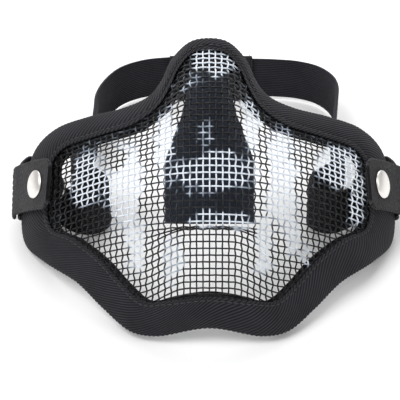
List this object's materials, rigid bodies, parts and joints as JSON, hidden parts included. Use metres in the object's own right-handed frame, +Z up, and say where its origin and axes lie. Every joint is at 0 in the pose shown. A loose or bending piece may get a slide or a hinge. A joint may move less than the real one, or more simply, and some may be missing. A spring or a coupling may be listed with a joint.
{
  "type": "mesh lower face mask",
  "caption": "Lower-face guard of pressed wire mesh with a padded fabric rim, riveted strap tabs and an elastic head strap closed by hook and loop.",
  "frame": {"origin": "middle of the base of the whole guard, on the surface that it lies on", "axes": "+Z up from that surface, +Y towards the strap behind the head, so the chin points to -Y, and +X to the wearer's left cheek as seen from the front on the right"},
  "size_m": [0.1994, 0.2326, 0.1103],
  "materials": {
    "mesh_paint": "black, grey and white blotched paint on plain woven steel wire, half gloss",
    "binding_cloth": "charcoal ribbed tape, matt",
    "pad_foam": "black foam strip, matt",
    "liner_cloth": "thin black knit, matt",
    "strap_elastic": "dark grey ribbed elastic, matt",
    "tab_cloth": "charcoal brushed pile, matt",
    "rivet_metal": "satin nickel"
  },
  "bodies": {
    "mask": {"wire_mesh_shell": "mesh_paint", "nose_mouth_liner": "liner_cloth", "upper_binding": "binding_cloth", "lower_binding": "binding_cloth", "upper_rim_pad": "pad_foam", "lower_rim_pad": "pad_foam"},
    "strap": {"right_strap_tab": "tab_cloth", "left_strap_tab": "tab_cloth", "right_elastic_strap": "strap_elastic", "left_elastic_strap": "strap_elastic", "right_rivet_cap": "rivet_metal", "left_rivet_cap": "rivet_metal", "right_rivet_washer": "rivet_metal", "left_rivet_washer": "rivet_metal", "closure_loop_patch": "tab_cloth", "closure_hook_patch": "tab_cloth"}
  },
  "joints": [
    {"name": "strap_swing", "type": "hinge", "parent": "mask", "child": "strap", "pos_m": [0, -0.04028, 0.03662], "axis": [1, 0, 0], "range_deg": [-10, 10]}
  ]
}
